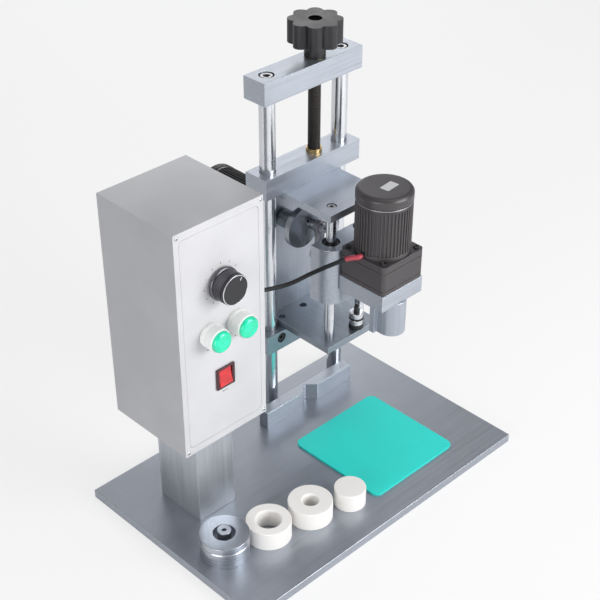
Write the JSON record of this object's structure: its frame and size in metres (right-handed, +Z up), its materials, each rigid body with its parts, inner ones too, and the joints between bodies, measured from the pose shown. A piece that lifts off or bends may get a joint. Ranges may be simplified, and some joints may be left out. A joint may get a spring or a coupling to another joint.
{
  "type": "capping machine",
  "caption": "Bench-top screw-capping machine: lifting head on two columns, gearmotor spindle on guide rods, crank drive, control box on a post, base plate with locator and mat.",
  "frame": {"origin": "centre of the base plate's underside", "axes": "+Z up, +X to the operator's right, +Y to the back, away from the control panel"},
  "size_m": [0.58, 0.5135, 0.6783],
  "materials": {
    "satin_aluminium": "satin machined",
    "dark_aluminium": "satin, darker",
    "chrome": "polished, plated",
    "steel": "turned",
    "black_steel": "black oxide",
    "brass": "turned",
    "box_paint": "satin grey paint",
    "panel_paint": "satin pale silver",
    "motor_paint": "dark bronze grey",
    "black_plastic": "moulded black",
    "green_lens": "domed green",
    "red_lens": "red",
    "white_plastic": "white nylon",
    "cable_rubber": "black sheath",
    "mat_rubber": "teal sheet",
    "circuit_case": "dark case"
  },
  "bodies": {
    "frame": {"base_plate": "satin_aluminium", "column_left": "chrome", "column_right": "chrome", "top_beam": "satin_aluminium", "beam_bolt_left": "steel", "beam_bolt_right": "steel", "screw_bush": "brass", "box_post": "satin_aluminium", "box_shell": "box_paint", "control_panel": "panel_paint", "speed_pot": "steel", "button_housing_left": "white_plastic", "button_housing_right": "white_plastic", "rocker_frame": "black_plastic", "speed_controller": "circuit_case", "motor_gland": "black_plastic", "mains_gland": "black_plastic", "v_locator": "satin_aluminium", "bottle_mat": "mat_rubber", "insert_large_bore": "white_plastic", "insert_small_bore": "white_plastic", "insert_solid": "white_plastic", "capping_chuck": "dark_aluminium", "motor_cable_lower": "cable_rubber"},
    "head": {"head_upper_beam": "satin_aluminium", "head_lower_beam": "satin_aluminium", "upper_plate": "satin_aluminium", "lower_plate": "dark_aluminium", "back_plate": "satin_aluminium", "leadscrew_nut": "brass", "guide_rod_left": "chrome", "guide_rod_right": "chrome", "rod_screw_left": "steel", "rod_screw_right": "steel", "lift_gearbox": "motor_paint", "lift_motor": "motor_paint", "clamp_screw": "black_steel", "stop_bolt": "black_steel", "stop_nut_lower": "steel", "stop_nut_upper": "steel", "motor_cable_upper": "cable_rubber"},
    "carriage": {"slide_block": "satin_aluminium", "bush_left": "black_plastic", "bush_right": "black_plastic", "motor_bracket": "satin_aluminium", "spindle_housing": "satin_aluminium", "capping_gearbox": "motor_paint", "capping_motor": "motor_paint", "link_bolt": "steel"},
    "spindle": {"spindle": "steel"},
    "crank": {"crank_disc": "satin_aluminium", "crank_pin": "steel"},
    "link": {"crank_link": "steel"},
    "screw": {"leadscrew": "black_steel", "star_knob": "black_plastic"},
    "speed_knob": {"speed_knob": "black_plastic"},
    "left_button": {"button_left": "green_lens"},
    "right_button": {"button_right": "green_lens"},
    "rocker": {"rocker_button": "red_lens"}
  },
  "joints": [
    {"name": "head_height", "type": "slide", "parent": "frame", "child": "head", "axis": [0, 0, 1], "range_m": [-0.055, 0.1], "deforming": ["motor_cable_lower"]},
    {"name": "screw_turn", "type": "hinge", "parent": "frame", "child": "screw", "pos_m": [0.16, 0.151, 0.6], "axis": [0, 0, 1], "range_deg": [-9010, 4960]},
    {"name": "carriage_slide", "type": "slide", "parent": "head", "child": "carriage", "axis": [0, 0, 1], "range_m": [-0.0133, 0.0133], "deforming": ["motor_cable_upper"]},
    {"name": "crank_turn", "type": "hinge", "parent": "head", "child": "crank", "pos_m": [0.1034, 0.12, 0.3626], "axis": [0, -1, 0], "range_deg": [-40.5, 40.5]},
    {"name": "link_swing", "type": "hinge", "parent": "crank", "child": "link", "pos_m": [0.1234, 0.1, 0.3626], "axis": [0, -1, 0], "range_deg": [-40.5, 40.5]},
    {"name": "spindle_turn", "type": "hinge", "parent": "carriage", "child": "spindle", "pos_m": [0.134, -0.048, 0.26], "axis": [0, 0, 1], "continuous": true},
    {"name": "speed_turn", "type": "hinge", "parent": "frame", "child": "speed_knob", "pos_m": [-0.181, -0.03, 0.4495], "axis": [0, -1, 0], "range_deg": [-300, 0]},
    {"name": "left_button_press", "type": "slide", "parent": "frame", "child": "left_button", "axis": [0, 1, 0], "range_m": [0, 0.003], "stiffness_N_per_m": 400},
    {"name": "right_button_press", "type": "slide", "parent": "frame", "child": "right_button", "axis": [0, 1, 0], "range_m": [0, 0.003], "stiffness_N_per_m": 400},
    {"name": "rocker_tilt", "type": "hinge", "parent": "frame", "child": "rocker", "pos_m": [-0.181, -0.0145, 0.292], "axis": [1, 0, 0], "range_deg": [0, 18]}
  ],
  "couplings": [
    {"joint": "screw_turn", "follows": "head_height", "rad_per_m": -1570.8},
    {"joint": "crank_turn", "follows": "carriage_slide", "rad_per_m": 52.63},
    {"joint": "link_swing", "follows": "carriage_slide", "rad_per_m": -52.63}
  ]
}
